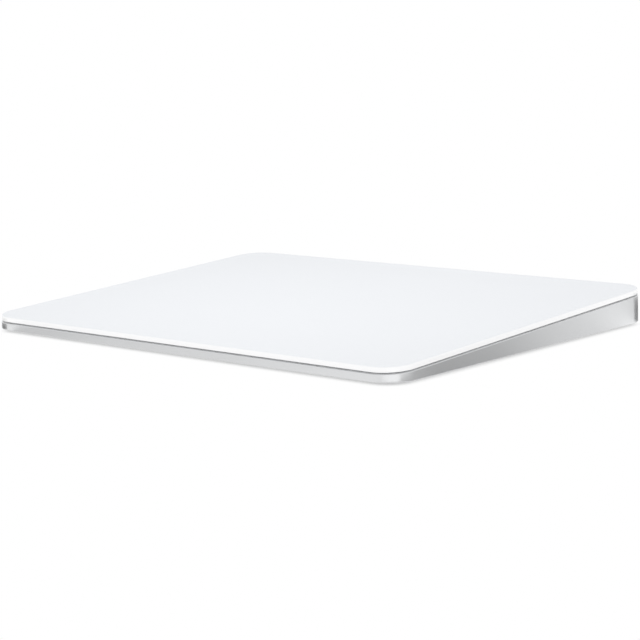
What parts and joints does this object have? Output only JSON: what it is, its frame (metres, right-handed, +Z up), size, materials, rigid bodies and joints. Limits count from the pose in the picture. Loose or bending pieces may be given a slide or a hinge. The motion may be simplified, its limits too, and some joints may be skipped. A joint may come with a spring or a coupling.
{
  "type": "trackpad",
  "caption": "Wedge-shaped wireless trackpad: white glass touch face on a thin aluminium housing with rubber feet, a rear charging port and a slide switch.",
  "frame": {"origin": "on the desk, under the middle of the body", "axes": "+X to the user's right, +Y away from the user towards the thick end, +Z up"},
  "size_m": [0.16, 0.115, 0.0109],
  "materials": {
    "white_glass": "white-backed glass, satin face and polished edge",
    "housing_aluminium": "fine bead-blasted, anodised",
    "cover_aluminium": "bead-blasted, anodised",
    "foot_rubber": "matte moulded",
    "seal_foam": "fine grey foam",
    "adhesive_film": "adhesive film",
    "white_tape": "adhesive tape",
    "spring_steel": "rolled spring steel",
    "plated_steel": "zinc-plated sheet",
    "shield_steel": "tinned sheet",
    "port_steel": "drawn stainless",
    "screw_steel": "dark plated",
    "magnet_nickel": "nickel-plated",
    "gauge_foil": "foil on polyimide",
    "ribbon_polyimide": "polyimide film over copper",
    "battery_foil": "laminated pouch foil",
    "board_laminate": "solder-masked glass fibre",
    "chip_resin": "moulded resin",
    "passive_ceramic": "ceramic with tinned ends",
    "socket_nylon": "moulded nylon",
    "dark_plastic": "moulded, dark",
    "contact_gold": "gold-plated copper",
    "coil_copper": "enamelled copper winding",
    "knob_plastic": "fine satin moulding",
    "flag_green": "printed green",
    "gel_silicone": "translucent gel"
  },
  "bodies": {
    "base": {"wedge_housing": "housing_aluminium", "bottom_cover": "cover_aluminium", "cover_film": "adhesive_film", "rim_seal": "seal_foam", "front_left_foot": "foot_rubber", "front_right_foot": "foot_rubber", "rear_left_foot": "foot_rubber", "rear_right_foot": "foot_rubber", "front_left_beam": "spring_steel", "front_right_beam": "spring_steel", "rear_left_beam": "spring_steel", "rear_right_beam": "spring_steel", "strain_gauges": "gauge_foil", "beam_screws": "screw_steel", "gauge_ribbon": "ribbon_polyimide", "battery_cell": "battery_foil", "battery_tape": "white_tape", "battery_guard_board": "board_laminate", "battery_ribbon": "ribbon_polyimide", "main_board": "board_laminate", "processor_chip": "chip_resin", "radio_shield": "shield_steel", "charging_chip": "chip_resin", "haptic_chip": "chip_resin", "board_passives": "passive_ceramic", "board_sockets": "socket_nylon", "board_screws": "screw_steel", "antenna_carrier": "dark_plastic", "antenna_foil": "contact_gold", "port_shell": "port_steel", "port_tongue": "dark_plastic", "port_contacts": "contact_gold", "port_board": "board_laminate", "port_bracket": "shield_steel", "port_screws": "screw_steel", "port_ribbon": "ribbon_polyimide", "switch_board": "board_laminate", "switch_body": "dark_plastic", "switch_screws": "screw_steel", "switch_ribbon": "ribbon_polyimide", "actuator_base": "plated_steel", "actuator_coils": "coil_copper", "actuator_screws": "screw_steel", "coil_ribbon": "ribbon_polyimide", "sensor_ribbon": "ribbon_polyimide"},
    "gel_layer": {"gel_pads": "gel_silicone"},
    "touch_plate": {"touch_glass": "white_glass", "glass_bond": "adhesive_film", "sensor_board": "board_laminate", "stiffener_plate": "plated_steel", "touch_chip": "chip_resin", "sensor_socket": "socket_nylon", "magnet_yoke": "plated_steel", "haptic_magnets": "magnet_nickel"},
    "power_slider": {"power_knob": "knob_plastic", "power_flag": "flag_green", "switch_nib": "socket_nylon"}
  },
  "joints": [
    {"name": "surface_press", "type": "slide", "parent": "base", "child": "gel_layer", "axis": [0, 0.0521, -0.9986], "range_m": [0, 0.00015], "stiffness_N_per_m": 15000, "springref_m": -0.0002, "deforming": ["front_left_beam", "front_right_beam", "rear_left_beam", "rear_right_beam", "sensor_ribbon"]},
    {"name": "haptic_shift", "type": "slide", "parent": "gel_layer", "child": "touch_plate", "axis": [1, 0, 0], "range_m": [-0.00012, 0.00012], "stiffness_N_per_m": 8000},
    {"name": "power_switch", "type": "slide", "parent": "base", "child": "power_slider", "axis": [1, 0, 0], "range_m": [0, 0.0024]}
  ]
}
